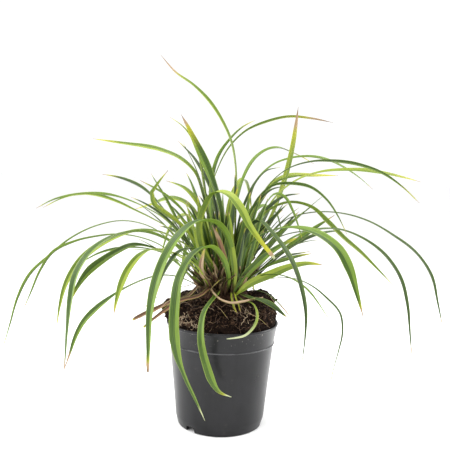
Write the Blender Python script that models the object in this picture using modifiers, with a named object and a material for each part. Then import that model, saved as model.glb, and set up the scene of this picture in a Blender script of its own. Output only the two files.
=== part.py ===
# A sedge standing in its nursery pot: pot, soil, crown and every main leaf as a solid of its own.
# The origin is on the pot's axis, on the surface that the pot stands on. Front is -Y, up is +Z.
import math

import bpy
from mathutils import Quaternion, Vector

MM = 0.001
GAP = 0.3                  # clearance between touching pieces, in millimetres like every size below

# Pot
POT_HEIGHT = 120.0
RIM_RADIUS = 65.0
BAND_RADIUS = 60.9         # outside of the rim band at its lower edge
BAND_LOW = 96.5
BODY_TOP_RADIUS = 60.0
FOOT_RADIUS = 49.0
CHAMFER_RADIUS = 51.6
CHAMFER_HIGH = 10.0
WALL = 1.2
SKIRT_HIGH = 6.4           # how far the floor of the pot stands above the surface
FOOT_WIDTH = 2.2
POT_SIDES = 48
NOTCH_AZIMUTHS = (229.0, 349.0, 109.0)
NOTCH_WIDTH = 12.0
NOTCH_HIGH = 6.0
CUT_DEPTH = 12.0           # of a notch's cutter, through the skirt from outside to inside
HOLE_COUNT = 5
HOLE_RING = 30.0
HOLE_RADIUS = 4.5

# Soil
MOUND_TOP = 148.0
PLATEAU_RADIUS = 33.0
LEFT_BULGE = 5.0           # of the mound over the rim at -X
FRONT_SLOPE = 0.24         # how far the mound's top draws in at the front, as a share of its reach

# Crown
CROWN_RADIUS = 30.0
CROWN_HIGH = 15.0
CROWN_LOW = MOUND_TOP + GAP

# Leaves
STATIONS = 12              # cross-sections along one leaf
LEAF_THICKNESS = 0.8
BASE_WIDTH = 3.0
TIP_WIDTH = 0.9
SEAT_GAP = 0.42            # from the crown's surface to the cut end of a leaf
RISE = 9.0                 # length over which a leaf leaves the crown square to it
BASE_FOLD = 0.7            # depth of the fold along the midrib, as a share of the half width
BLADE_FOLD = 0.25
FOLD_LENGTH = 0.4          # share of the length over which the fold opens
FULL_FROM = 0.4            # a blade has its full width between these shares of its length
FULL_TO = 0.62
SEAT_COUNT = 70
SEAT_SPREAD = 26.5

# Leaves that arch in an upright plane through the plant's axis. Each row is the name, the azimuth
# in degrees from +X, the reach wanted for the seat, the width, the turn of the blade towards its
# tip in degrees, and the route as (reach, height) pairs.
ARCHED = (
    ("leaf_01", 155, 12, 6.0, -35, ((41, 291), (64, 308), (96, 318), (143, 325), (189, 330))),
    ("leaf_02", 130, 12, 5.0, 20, ((23, 262), (54, 301), (97, 330))),
    ("leaf_03", 165, 18, 6.0, 30, ((38, 200), (73, 243), (103, 270), (133, 282), (156, 286))),
    ("leaf_04", 152, 16, 5.5, -30, ((30, 240), (44, 262), (60, 274), (82, 280))),
    ("leaf_05", 176, 18, 6.0, 25, ((30, 205), (45, 240), (68, 262), (100, 280))),
    ("leaf_06", 140, 20, 6.5, -30, ((34, 225), (60, 252), (90, 258), (118, 250), (156, 241))),
    ("leaf_07", 170, 22, 6.0, 25,
     ((40, 195), (68, 232), (124, 258), (159, 262), (207, 255), (235, 242))),
    ("leaf_08", 190, 22, 5.0, -25,
     ((40, 190), (61, 223), (100, 245), (139, 261), (172, 262), (203, 248))),
    ("leaf_09", 181, 24, 5.5, 35,
     ((44, 190), (70, 218), (110, 233), (161, 221), (200, 191), (230, 159), (256, 78))),
    ("leaf_10", 192, 25, 5.0, 30,
     ((40, 176), (70, 205), (112, 219), (157, 214), (193, 198), (223, 133))),
    ("leaf_11", 203, 20, 7.0, -40,
     ((42, 205), (90, 226), (140, 213), (171, 186), (184, 154), (189, 124))),
    ("leaf_12", 211, 23, 7.5, 40,
     ((36, 188), (80, 219), (117, 226), (148, 214), (172, 188), (187, 73))),
    ("leaf_13", 208, 26, 7.0, -35,
     ((42, 172), (66, 196), (107, 211), (132, 203), (163, 180), (178, 154))),
    ("leaf_14", 221, 24, 5.0, 40,
     ((34, 175), (63, 198), (98, 209), (122, 199), (138, 172), (146, 144))),
    ("leaf_15", 195, 27, 4.5, 20,
     ((40, 166), (66, 174), (100, 166), (132, 147), (160, 120), (179, 70))),
    ("leaf_16", 166, 27, 2.5, 0, ((40, 158), (66, 152), (96, 128), (122, 111))),
    ("leaf_17", 184, 26, 4.0, -20, ((40, 180), (76, 199), (109, 203), (142, 196), (173, 179))),
    ("leaf_18", 233, 20, 6.0, 25, ((32, 190), (52, 207), (80, 206), (100, 188), (113, 164))),
    ("leaf_19", 341, 26, 6.0, -20, ((34, 160), (52, 156), (72, 141), (88, 125))),
    ("leaf_20", 325, 26, 6.5, 30,
     ((38, 166), (62, 176), (101, 179), (129, 166), (149, 146), (140, 74))),
    ("leaf_21", 318, 26, 5.5, -25, ((38, 170), (60, 181), (90, 183), (118, 172), (150, 142))),
    ("leaf_22", 316, 20, 7.0, 35,
     ((34, 205), (66, 229), (104, 236), (139, 230), (162, 214), (186, 158))),
    ("leaf_23", 345, 18, 7.0, -40,
     ((34, 230), (64, 258), (97, 256), (127, 230), (158, 206), (191, 175))),
    ("leaf_24", 340, 22, 5.5, 35,
     ((34, 196), (62, 220), (103, 231), (137, 233), (178, 212), (199, 183), (214, 102))),
    ("leaf_25", 356, 22, 5.5, 40,
     ((38, 200), (71, 240), (109, 250), (152, 245), (194, 224), (231, 192), (253, 120))),
    ("leaf_26", 22, 18, 6.0, 30,
     ((36, 220), (66, 266), (92, 285), (126, 296), (182, 300), (230, 295), (277, 287))),
    ("leaf_27", 10, 16, 5.5, -35,
     ((30, 235), (57, 287), (88, 304), (124, 309), (178, 301), (216, 281), (240, 262))),
    ("leaf_28", 32, 15, 6.0, 30,
     ((28, 240), (43, 284), (67, 303), (110, 314), (156, 311), (201, 294), (234, 275))),
    ("leaf_29", 46, 10, 7.0, -30,
     ((20, 260), (32, 290), (50, 310), (84, 324), (126, 319), (169, 307))),
    ("leaf_30", 40, 20, 6.0, 35, ((36, 225), (60, 266), (90, 287), (153, 292), (198, 292))),
    ("leaf_31", 336, 14, 6.0, -30,
     ((26, 235), (52, 276), (84, 281), (106, 275), (126, 256), (142, 230))),
    ("leaf_32", 5, 25, 7.0, 40, ((43, 178), (77, 208), (98, 224), (128, 246))),
    ("leaf_33", 50, 24, 5.0, 15, ((42, 190), (72, 220), (116, 246))),
    ("leaf_34", 16, 26, 6.0, -30, ((42, 174), (72, 192), (108, 200))),
    ("leaf_35", 62, 22, 6.0, 30, ((38, 205), (72, 240), (112, 250), (150, 236), (172, 206))),
    ("leaf_36", 76, 14, 6.5, -25, ((26, 232), (52, 270), (88, 284), (126, 270), (150, 240))),
    ("leaf_37", 88, 25, 6.0, 25, ((44, 186), (76, 210), (108, 208), (136, 182), (148, 150))),
    ("leaf_38", 100, 18, 6.5, -30, ((34, 218), (62, 248), (96, 256), (128, 240), (150, 210))),
    ("leaf_39", 112, 24, 5.5, 30, ((42, 192), (76, 218), (116, 214), (146, 180), (158, 138))),
    ("leaf_40", 124, 22, 5.0, 25, ((36, 204), (62, 230), (98, 236), (134, 214), (156, 176))),
    ("leaf_41", 70, 27, 5.5, -25, ((46, 168), (76, 176), (106, 160), (124, 130))),
    ("leaf_42", 120, 27, 5.5, 20, ((46, 170), (74, 178), (104, 160), (122, 124))),
)

# Leaves that bow aside on their way. Each row is the name, the reach and azimuth wanted for the
# seat, the width, the turn, and the route as (x, y, z) points.
BOWED = (
    ("leaf_45", (12, 40), 5.0, 15,
     ((11, 3, 258), (10, 5, 296), (3, 10, 329), (-12, 16, 359), (-33, 22, 385),
                                    (-68, 28, 411), (-82, 30, 428))),
    ("leaf_46", (12, 130), 5.5, -25,
     ((-13, 22, 238), (-17, 31, 278), (-7, 34, 303), (14, 35, 336), (71, 42, 361),
                                      (128, 50, 356))),
    ("leaf_47", (20, 35), 7.0, 20,
     ((36, 24, 200), (53, 31, 232), (65, 37, 263), (78, 34, 319), (83, 36, 373))),
    ("leaf_48", (7, 190), 8.0, -15,
     ((-6, 0, 243), (-16, 5, 278), (-30, 10, 311), (-45, 15, 341), (-55, 18, 358))),
    ("leaf_49", (19, 255), 10.0, 25,
     ((7, -31, 190), (3, -46, 220), (-10, -68, 238), (-30, -94, 240),
                                      (-52, -122, 216), (-66, -142, 171), (-67, -150, 105))),
    ("leaf_50", (25, 275), 10.5, -15,
     ((6, -38, 172), (-2, -54, 200), (-20, -78, 214), (-40, -102, 194),
                                       (-46, -113, 150), (-42, -110, 107), (-15, -92, 36))),
    ("leaf_51", (26, 255), 8.0, 15,
     ((-8, -46, 154), (-17, -62, 147), (-21, -76, 127), (-18, -80, 101),
                                     (-2, -78, 64), (12, -76, 56))),
    ("leaf_52", (27, 300), 4.5, 30,
     ((22, -41, 152), (32, -54, 152), (37, -66, 138), (26, -76, 124), (5, -80, 119))),
    ("leaf_53", (16, 230), 8.5, 30,
     ((-22, -30, 205), (-26, -44, 240), (-8, -60, 272), (12, -76, 260),
                                     (28, -88, 234), (50, -98, 207))),
    ("leaf_43", (16, 310), 7.5, -25,
     ((22, -28, 212), (32, -44, 240), (52, -75, 226), (71, -105, 198),
                                      (80, -122, 160), (78, -125, 112))),
    ("leaf_44", (18, 215), 6.0, 20,
     ((-28, -14, 202), (-47, -22, 229), (-69, -32, 247), (-82, -40, 262),
                                     (-62, -50, 292))),
)

# Dead leaves and broken stalks, rows as above
DRIED = (
    ("dry_leaf_1", (24, 243), 5.5, 30, ((-22, -38, 176), (-25, -44, 192), (-20, -50, 212))),
    ("dry_leaf_2", (15, 285), 5.5, -20, ((3, -24, 186), (-3, -32, 208), (-14, -40, 234))),
    ("stub_1", (27, 207), 4.0, 10, ((-38, -25, 152), (-59, -35, 146), (-98, -46, 128))),
    ("stub_2", (26, 240), 3.5, -10, ((-26, -42, 156), (-50, -50, 150), (-84, -60, 124))),
)


def makeMaterial(name, color, roughness):
    material = bpy.data.materials.new(name)
    material.use_nodes = True
    shader = material.node_tree.nodes["Principled BSDF"]
    shader.inputs["Base Color"].default_value = (*color, 1.0)
    shader.inputs["Roughness"].default_value = roughness
    shader.inputs["Metallic"].default_value = 0.0
    return material


def placeObject(name, mesh, collection, material=None):
    piece = bpy.data.objects.new(name, mesh)
    collection.objects.link(piece)
    if material:
        mesh.materials.append(material)
    return piece


def turnProfile(name, profile, sides, collection, material):
    """Turns an open outline of (radius, height) points, given in millimetres, about Z."""
    mesh = bpy.data.meshes.new(name)
    points = [(radius * MM, 0.0, height * MM) for radius, height in profile]
    edges = [(i, i + 1) for i in range(len(points) - 1)]
    mesh.from_pydata(points, edges, [])
    piece = placeObject(name, mesh, collection, material)
    screw = piece.modifiers.new("turn", "SCREW")
    screw.steps = sides
    screw.render_steps = sides
    screw.use_merge_vertices = True
    screw.merge_threshold = 0.00001
    return piece


def bakeModifiers(piece):
    """Keeps the evaluated mesh as the piece's own, so that its points can be moved."""
    graph = bpy.context.evaluated_depsgraph_get()
    mesh = bpy.data.meshes.new_from_object(piece.evaluated_get(graph))
    piece.modifiers.clear()
    piece.data = mesh
    return mesh


def addCut(piece, cutter):
    cutter.hide_render = True
    cutter.display_type = "WIRE"
    cut = piece.modifiers.new("cut", "BOOLEAN")
    cut.operation = "DIFFERENCE"
    cut.solver = "EXACT"
    cut.object = cutter


def innerRadius(height):
    """Inside radius of the pot's tapered wall at a height above the floor."""
    share = (height - CHAMFER_HIGH) / (BAND_LOW - CHAMFER_HIGH)
    return CHAMFER_RADIUS - WALL + share * (BODY_TOP_RADIUS - CHAMFER_RADIUS)


def potProfile():
    floor = SKIRT_HIGH + WALL
    return [
        (0.0, floor),
        (CHAMFER_RADIUS - WALL - 1.6, floor),
        (CHAMFER_RADIUS - WALL, CHAMFER_HIGH),
        (innerRadius(BAND_LOW), BAND_LOW),
        (BAND_RADIUS - WALL + 0.3, BAND_LOW + 2.0),
        (RIM_RADIUS - 2.0, POT_HEIGHT - 0.5),
        (RIM_RADIUS - 1.6, POT_HEIGHT),
        (RIM_RADIUS - 0.5, POT_HEIGHT),
        (RIM_RADIUS, POT_HEIGHT - 0.6),
        (RIM_RADIUS, POT_HEIGHT - 2.4),
        (RIM_RADIUS - 0.9, POT_HEIGHT - 3.2),
        (BAND_RADIUS, BAND_LOW + 1.2),
        (BAND_RADIUS, BAND_LOW),
        (BODY_TOP_RADIUS, BAND_LOW - 0.8),
        (CHAMFER_RADIUS, CHAMFER_HIGH),
        (FOOT_RADIUS + 0.4, 1.0),
        (FOOT_RADIUS, 0.0),
        (FOOT_RADIUS - FOOT_WIDTH, 0.0),
        (FOOT_RADIUS - FOOT_WIDTH, SKIRT_HIGH),
        (0.0, SKIRT_HIGH),
    ]


def makePot(collection, cutters):
    plastic = makeMaterial("potPlastic", (0.058, 0.057, 0.062), 0.42)
    pot = turnProfile("pot", potProfile(), POT_SIDES, collection, plastic)
    for azimuth in NOTCH_AZIMUTHS:
        angle = math.radians(azimuth)
        bpy.ops.mesh.primitive_cube_add(size=1.0)
        notch = bpy.context.object
        notch.name = "notch"
        reach = (FOOT_RADIUS + 1.0) * MM
        notch.location = (reach * math.cos(angle), reach * math.sin(angle), 0.0)
        notch.rotation_euler = (0.0, 0.0, angle)
        notch.scale = (CUT_DEPTH * MM, NOTCH_WIDTH * MM, 2.0 * NOTCH_HIGH * MM)
        moveTo(notch, cutters)
        addCut(pot, notch)
    for k in range(HOLE_COUNT):
        angle = math.tau * (k + 0.3) / HOLE_COUNT
        bpy.ops.mesh.primitive_cylinder_add(vertices=16, radius=HOLE_RADIUS * MM, depth=3.0 * WALL * MM)
        hole = bpy.context.object
        hole.name = "drain_hole"
        middle = (SKIRT_HIGH + WALL / 2.0) * MM
        hole.location = (HOLE_RING * MM * math.cos(angle), HOLE_RING * MM * math.sin(angle), middle)
        moveTo(hole, cutters)
        addCut(pot, hole)


def moveTo(piece, collection):
    for old in list(piece.users_collection):
        old.objects.unlink(piece)
    collection.objects.link(piece)


def makeSoil(collection):
    peat = makeMaterial("peat", (0.040, 0.026, 0.018), 0.95)
    floor = SKIRT_HIGH + WALL + GAP
    profile = [
        (0.0, MOUND_TOP),
        (PLATEAU_RADIUS, MOUND_TOP),
        (46.0, MOUND_TOP - 1.5),
        (55.0, MOUND_TOP - 7.0),
        (60.0, MOUND_TOP - 15.0),
        (62.0, MOUND_TOP - 22.0),
        (RIM_RADIUS - 3.2, POT_HEIGHT + 0.5),
        (RIM_RADIUS - 2.6, POT_HEIGHT - 1.0),
        (innerRadius(BAND_LOW) - 0.5, BAND_LOW),
        (CHAMFER_RADIUS - WALL - 0.5, CHAMFER_HIGH + 0.2),
        (CHAMFER_RADIUS - WALL - 2.4, floor),
        (0.0, floor),
    ]
    soil = turnProfile("soil", profile, POT_SIDES, collection, peat)
    mesh = bakeModifiers(soil)
    for vertex in mesh.vertices:
        x, y, z = (value / MM for value in vertex.co)
        reach = math.hypot(x, y)
        if z < POT_HEIGHT + 2.0 or reach < PLATEAU_RADIUS + 4.0:
            continue
        angle = math.atan2(y, x)
        # the mound slopes away at the front and stands full at the sides and back
        full = 1.0 + 0.9 * min(0.0, math.sin(angle))
        high = (z - POT_HEIGHT) / (MOUND_TOP - POT_HEIGHT)
        grow = 1.0 - (1.0 - full) * FRONT_SLOPE * high
        lumps = math.sin(5.0 * angle + 0.6) * 0.7 + math.sin(11.0 * angle + z * 0.4) * 0.8
        bulge = LEFT_BULGE * math.exp(-((math.cos(angle) + 1.0) / 0.10)) * (1.0 - abs(2.0 * high - 0.9))
        reach = reach * grow + full * 3.0 * high + lumps + max(0.0, bulge)
        lift = math.sin(3.0 * angle + 1.0) * 1.2 * high + full * 1.5 * high
        vertex.co = (reach * math.cos(angle) * MM, reach * math.sin(angle) * MM, (z + lift) * MM)


def makeCrown(collection):
    fibre = makeMaterial("crownFibre", (0.085, 0.055, 0.032), 0.9)
    rings = 8
    profile = []
    for k in range(rings):
        share = 0.5 * math.pi * k / rings
        profile.append((CROWN_RADIUS * math.sin(share), CROWN_LOW + CROWN_HIGH * math.cos(share)))
    profile.append((CROWN_RADIUS, CROWN_LOW + 0.5))
    profile.append((CROWN_RADIUS - 1.0, CROWN_LOW))
    profile.append((0.0, CROWN_LOW))
    turnProfile("crown", profile, 36, collection, fibre)


def crownPoint(reach, azimuth):
    """Point and outward direction of the crown's dome at a plan position."""
    angle = math.radians(azimuth)
    high = CROWN_HIGH * math.sqrt(1.0 - (reach / CROWN_RADIUS) ** 2)
    point = Vector((reach * math.cos(angle), reach * math.sin(angle), CROWN_LOW + high))
    steep = high / CROWN_HIGH ** 2
    side = reach / CROWN_RADIUS ** 2
    return point, Vector((side * math.cos(angle), side * math.sin(angle), steep)).normalized()


def makeSeats():
    """Seats spread over the crown as evenly as seeds in a flower head."""
    golden = math.degrees(math.pi * (3.0 - math.sqrt(5.0)))
    seats = []
    for k in range(SEAT_COUNT):
        reach = SEAT_SPREAD * math.sqrt((k + 0.4) / SEAT_COUNT)
        seats.append((reach, (k * golden) % 360.0))
    return seats


def takeSeat(seats, reach, azimuth):
    """Takes the free seat that is nearest to the wanted one."""
    def away(seat):
        turn = math.radians(seat[1] - azimuth)
        return reach ** 2 + seat[0] ** 2 - 2.0 * reach * seat[0] * math.cos(turn)
    seat = min(seats, key=away)
    seats.remove(seat)
    return seat


def smoothRoute(controls, count):
    """Points evenly spaced along a smooth curve through the controls."""
    ends = [controls[0] * 2.0 - controls[1], *controls, controls[-1] * 2.0 - controls[-2]]
    fine = []
    for i in range(1, len(ends) - 2):
        p0, p1, p2, p3 = ends[i - 1:i + 3]
        knots = [0.0]
        for a, b in ((p0, p1), (p1, p2), (p2, p3)):
            knots.append(knots[-1] + math.sqrt((b - a).length))
        t0, t1, t2, t3 = knots
        for k in range(12):
            t = t1 + (t2 - t1) * k / 12.0
            a1 = p0 * ((t1 - t) / (t1 - t0)) + p1 * ((t - t0) / (t1 - t0))
            a2 = p1 * ((t2 - t) / (t2 - t1)) + p2 * ((t - t1) / (t2 - t1))
            a3 = p2 * ((t3 - t) / (t3 - t2)) + p3 * ((t - t2) / (t3 - t2))
            b1 = a1 * ((t2 - t) / (t2 - t0)) + a2 * ((t - t0) / (t2 - t0))
            b2 = a2 * ((t3 - t) / (t3 - t1)) + a3 * ((t - t1) / (t3 - t1))
            fine.append(b1 * ((t2 - t) / (t2 - t1)) + b2 * ((t - t1) / (t2 - t1)))
    fine.append(controls[-1])
    lengths = [0.0]
    for a, b in zip(fine, fine[1:]):
        lengths.append(lengths[-1] + (b - a).length)
    spaced = []
    j = 0
    for k in range(count):
        want = lengths[-1] * k / (count - 1)
        while j < len(fine) - 2 and lengths[j + 1] < want:
            j += 1
        share = (want - lengths[j]) / (lengths[j + 1] - lengths[j])
        spaced.append(fine[j].lerp(fine[j + 1], min(1.0, share)))
    return spaced


def bladeWidth(share, width):
    """A narrow folded base, a full middle and a fine tip."""
    if share < FULL_FROM:
        s = share / FULL_FROM
        return BASE_WIDTH + (width - BASE_WIDTH) * s * s * (3.0 - 2.0 * s)
    if share < FULL_TO:
        return width
    s = (share - FULL_TO) / (1.0 - FULL_TO)
    return TIP_WIDTH + (width - TIP_WIDTH) * (1.0 - s ** 1.8)


def makeBlade(name, seat, width, turn, route, collection, material):
    """A leaf: an open strip folded along its midrib, made solid by Solidify."""
    foot, out = crownPoint(*seat)
    controls = [foot + out * SEAT_GAP, foot + out * RISE, *(Vector(point) for point in route)]
    points = smoothRoute(controls, STATIONS)
    heading = points[-1] - points[0]
    tangent = out
    across = Vector((0.0, 0.0, 1.0)).cross(Vector((heading.x, heading.y, 0.0))).normalized()
    across = (across - tangent * across.dot(tangent)).normalized()
    verts = []
    for k, point in enumerate(points):
        ahead = points[min(k + 1, STATIONS - 1)] - points[max(k - 1, 0)]
        ahead = out if k == 0 else ahead.normalized()
        across = tangent.rotation_difference(ahead) @ across
        tangent = ahead
        share = k / (STATIONS - 1)
        turned = Quaternion(tangent, math.radians(turn) * share ** 1.5) @ across
        normal = tangent.cross(turned)
        half = bladeWidth(share, width) / 2.0
        flat = min(1.0, share / FOLD_LENGTH)
        lift = half / 2.0 * (BASE_FOLD + (BLADE_FOLD - BASE_FOLD) * flat)
        verts.append((point + turned * half + normal * lift) * MM)
        verts.append((point - normal * lift) * MM)
        verts.append((point - turned * half + normal * lift) * MM)
    faces = []
    for k in range(STATIONS - 1):
        for side in (0, 1):
            a = 3 * k + side
            faces.append((a, a + 1, a + 4, a + 3))
    mesh = bpy.data.meshes.new(name)
    mesh.from_pydata(verts, [], faces)
    leaf = placeObject(name, mesh, collection, material)
    solid = leaf.modifiers.new("thickness", "SOLIDIFY")
    solid.thickness = LEAF_THICKNESS * MM
    solid.offset = 0.0
    return leaf


def archedRoute(azimuth, pairs):
    angle = math.radians(azimuth)
    return [(reach * math.cos(angle), reach * math.sin(angle), height) for reach, height in pairs]


def makeLeaves(collection):
    green = (0.115, 0.215, 0.045)
    straw = (0.42, 0.30, 0.16)
    blades = []
    for name, azimuth, reach, width, turn, pairs in ARCHED:
        blades.append((name, (reach, azimuth), width, turn, archedRoute(azimuth, pairs), green))
    for name, seat, width, turn, route in BOWED:
        blades.append((name, seat, width, turn, route, green))
    for name, seat, width, turn, route in DRIED:
        blades.append((name, seat, width, turn, route, straw))
    # the outermost blades choose their seats first
    seats = makeSeats()
    blades.sort(key=lambda blade: (-blade[1][0], blade[0]))
    for name, (reach, azimuth), width, turn, route, color in blades:
        seat = takeSeat(seats, reach, azimuth)
        material = makeMaterial(name + "_blade", color, 0.55)
        makeBlade(name, seat, width, turn, route, collection, material)


def main():
    for old in list(bpy.data.objects):
        bpy.data.objects.remove(old, do_unlink=True)
    scene = bpy.context.scene
    sedge = bpy.data.collections.new("potted_sedge")
    cutters = bpy.data.collections.new("cutters")
    scene.collection.children.link(sedge)
    scene.collection.children.link(cutters)
    makePot(sedge, cutters)
    makeSoil(sedge)
    makeCrown(sedge)
    makeLeaves(sedge)


main()
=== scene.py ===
import heapq
import math

import bmesh
import bpy
import numpy as np
from mathutils import Matrix, Quaternion, Vector, noise
from mathutils.bvhtree import BVHTree


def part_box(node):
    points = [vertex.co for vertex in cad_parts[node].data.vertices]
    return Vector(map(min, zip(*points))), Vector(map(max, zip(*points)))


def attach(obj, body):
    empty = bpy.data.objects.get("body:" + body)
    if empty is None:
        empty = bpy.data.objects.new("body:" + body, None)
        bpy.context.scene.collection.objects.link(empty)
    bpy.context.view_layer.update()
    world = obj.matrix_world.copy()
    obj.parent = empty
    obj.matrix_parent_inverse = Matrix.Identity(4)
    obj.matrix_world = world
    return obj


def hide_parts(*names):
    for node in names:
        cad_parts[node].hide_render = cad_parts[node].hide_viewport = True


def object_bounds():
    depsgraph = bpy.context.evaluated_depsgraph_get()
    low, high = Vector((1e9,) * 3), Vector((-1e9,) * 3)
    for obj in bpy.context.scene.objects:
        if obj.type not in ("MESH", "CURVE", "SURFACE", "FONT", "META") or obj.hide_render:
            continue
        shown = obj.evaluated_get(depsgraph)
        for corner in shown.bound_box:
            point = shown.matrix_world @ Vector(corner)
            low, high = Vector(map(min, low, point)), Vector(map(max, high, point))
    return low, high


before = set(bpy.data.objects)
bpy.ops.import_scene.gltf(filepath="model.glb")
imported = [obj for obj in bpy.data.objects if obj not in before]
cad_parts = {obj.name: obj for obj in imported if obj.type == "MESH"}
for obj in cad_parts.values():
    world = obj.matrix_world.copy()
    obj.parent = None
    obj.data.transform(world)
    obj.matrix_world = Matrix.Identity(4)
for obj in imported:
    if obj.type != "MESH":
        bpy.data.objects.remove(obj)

cadLow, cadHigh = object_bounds()
mm = 0.001
body = "root"
goldenAngle = 2.399963       # radians; spreads points evenly over a disc
seeds = {"leaves": 11, "crumbs": 5, "fibres": 9, "crown": 21, "clump": 33, "singles": 17}


# small helpers

def unit(v):
    return v / np.maximum(np.linalg.norm(v, axis=-1, keepdims=True), 1e-9)


def smoothLine(points, count):
    # evenly spaced rows along a smooth curve through the given rows; only the first three columns
    # are places, any further columns ride along
    p = np.asarray(points, float)
    p = np.vstack([2 * p[0] - p[1], p, 2 * p[-1] - p[-2]])
    fine = []
    for i in range(1, len(p) - 2):
        q = p[i - 1:i + 3]
        steps = np.sqrt(np.maximum(np.linalg.norm(np.diff(q[:, :3], axis=0), axis=1), 1e-9))
        t0, t1, t2, t3 = np.concatenate([[0.0], np.cumsum(steps)])
        t = np.linspace(t1, t2, 16, endpoint=False)[:, None]
        a1 = q[0] * (t1 - t) / (t1 - t0) + q[1] * (t - t0) / (t1 - t0)
        a2 = q[1] * (t2 - t) / (t2 - t1) + q[2] * (t - t1) / (t2 - t1)
        a3 = q[2] * (t3 - t) / (t3 - t2) + q[3] * (t - t2) / (t3 - t2)
        b1 = a1 * (t2 - t) / (t2 - t0) + a2 * (t - t0) / (t2 - t0)
        b2 = a2 * (t3 - t) / (t3 - t1) + a3 * (t - t1) / (t3 - t1)
        fine.append(b1 * (t2 - t) / (t2 - t1) + b2 * (t - t1) / (t2 - t1))
    fine = np.vstack(fine + [p[-2:-1]])
    along = np.concatenate([[0.0], np.cumsum(np.linalg.norm(np.diff(fine[:, :3], axis=0), axis=1))])
    want = np.linspace(0.0, along[-1], count)
    rows = [np.interp(want, along, fine[:, k]) for k in range(fine.shape[1])]
    return np.stack(rows, 1)


def addObject(name, data):
    made = bpy.data.objects.new(name, data)
    bpy.context.scene.collection.objects.link(made)
    return made


def addPiece(name, verts, faces, material, smooth=True):
    mesh = bpy.data.meshes.new(name)
    mesh.from_pydata([tuple(v) for v in verts], [], faces)
    mesh.materials.append(material)
    mesh.polygons.foreach_set("use_smooth", [smooth] * len(mesh.polygons))
    piece = addObject(name, mesh)
    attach(piece, body)
    return piece


def setInputs(tree, node, inputs):
    # a socket is linked, anything else is a value
    for key, value in inputs.items():
        if isinstance(value, bpy.types.NodeSocket):
            tree.links.new(value, node.inputs[key])
        else:
            node.inputs[key].default_value = value


def addNode(tree, kind, values=None, inputs=None):
    node = tree.nodes.new("ShaderNode" + kind)
    for key, value in (values or {}).items():
        setattr(node, key, value)
    setInputs(tree, node, inputs or {})
    return node


def doMath(tree, operation, a, b=0.0, clamp=False):
    return addNode(tree, "Math", {"operation": operation, "use_clamp": clamp}, {0: a, 1: b}).outputs[0]


def times(tree, a, b, clamp=False):
    return doMath(tree, "MULTIPLY", a, b, clamp)


def plus(tree, a, b, clamp=False):
    return doMath(tree, "ADD", a, b, clamp)


def minus(tree, a, b, clamp=False):
    return doMath(tree, "SUBTRACT", a, b, clamp)


def mixColor(tree, share, a, b):
    a, b = [(*tone, 1.0) if isinstance(tone, tuple) else tone for tone in (a, b)]
    return addNode(tree, "Mix", {"data_type": "RGBA"}, {0: share, 6: a, 7: b}).outputs[2]


def ramp(tree, value, low, high):
    # goes from 0 to 1 between low and high
    node = addNode(tree, "MapRange", {"interpolation_type": "SMOOTHSTEP"}, {0: value, 1: low, 2: high})
    return node.outputs[0]


def newMaterial(name):
    material = bpy.data.materials.new(name)
    material.use_nodes = True
    return material, material.node_tree, material.node_tree.nodes["Principled BSDF"]


def noiseOf(tree, vector, scale, detail=3.0, rough=0.55):
    inputs = {"Scale": scale, "Detail": detail, "Roughness": rough}
    if vector is not None:
        inputs["Vector"] = vector
    return addNode(tree, "TexNoise", None, inputs).outputs[0]


def addBump(tree, shader, strength, distance, height):
    bump = addNode(tree, "Bump", None, {"Strength": strength, "Distance": distance, "Height": height})
    tree.links.new(bump.outputs[0], shader.inputs["Normal"])


# camera, floor and light

studio = {
    "distance": 0.70,        # from the pot's axis to the camera
    "height": 0.289,
    "pitch": 4.7,            # degrees down
    "roll": 1.65,            # degrees; the plant looks turned clockwise by this
    "lens": 48.64,
    "sensor": 36.0,
    "photoSide": 450.0,      # pixels, across and down
    "floorTone": (0.93, 0.93, 0.93),
    "worldTone": (1.0, 1.0, 1.0),
    "worldLight": 1.08,
    "floorHalf": 40.0,
    "floorDrop": 0.0004,
    "floorRough": 0.75,
    "aim": (0.0, 0.0, 0.2),
}
softboxes = {
    "topSoftbox": {"place": (-0.2, -0.1, 1.5), "size": (1.1, 0.9), "watts": 20.0},
    "leftSoftbox": {"place": (-1.25, 0.22, 0.5), "size": (0.5, 1.2), "watts": 15.0},
    "rightSoftbox": {"place": (1.25, 0.25, 0.5), "size": (0.5, 1.2), "watts": 22.0},
    "frontLeftSoftbox": {"place": (-0.95, -0.95, 0.75), "size": (0.5, 0.7), "watts": 9.0},
}


def cameraAxes():
    pitch, roll = math.radians(studio["pitch"]), math.radians(studio["roll"])
    forward = Vector((0.0, math.cos(pitch), -math.sin(pitch)))
    right = Vector((1.0, 0.0, 0.0))
    up = right.cross(forward)
    tiltedRight = right * math.cos(roll) + up * math.sin(roll)
    tiltedUp = up * math.cos(roll) - right * math.sin(roll)
    return forward, tiltedRight, tiltedUp


def fromPhoto(points):
    # each point is pixels across, pixels down and millimetres behind the pot's axis; gives its
    # place to the nearest millimetre
    forward, right, up = cameraAxes()
    eye = Vector((0.0, -studio["distance"], studio["height"]))
    reach = studio["lens"] / studio["sensor"] * studio["photoSide"]
    middle = 0.5 * studio["photoSide"]
    places = []
    for across, down, depth in points:
        ray = forward * reach + right * (across - middle) - up * (down - middle)
        place = eye + ray * ((depth * mm - eye.y) / ray.y)
        places.append(tuple(round(v / mm) for v in place))
    return places


def setCamera():
    data = bpy.data.cameras.new("photoCamera")
    data.lens = studio["lens"]
    data.sensor_width = studio["sensor"]
    data.clip_start = 0.01
    camera = addObject("photoCamera", data)
    forward, right, up = cameraAxes()
    turn = Matrix((right, up, -forward)).transposed().to_4x4()
    camera.matrix_world = Matrix.Translation((0.0, -studio["distance"], studio["height"])) @ turn
    bpy.context.scene.camera = camera


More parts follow.
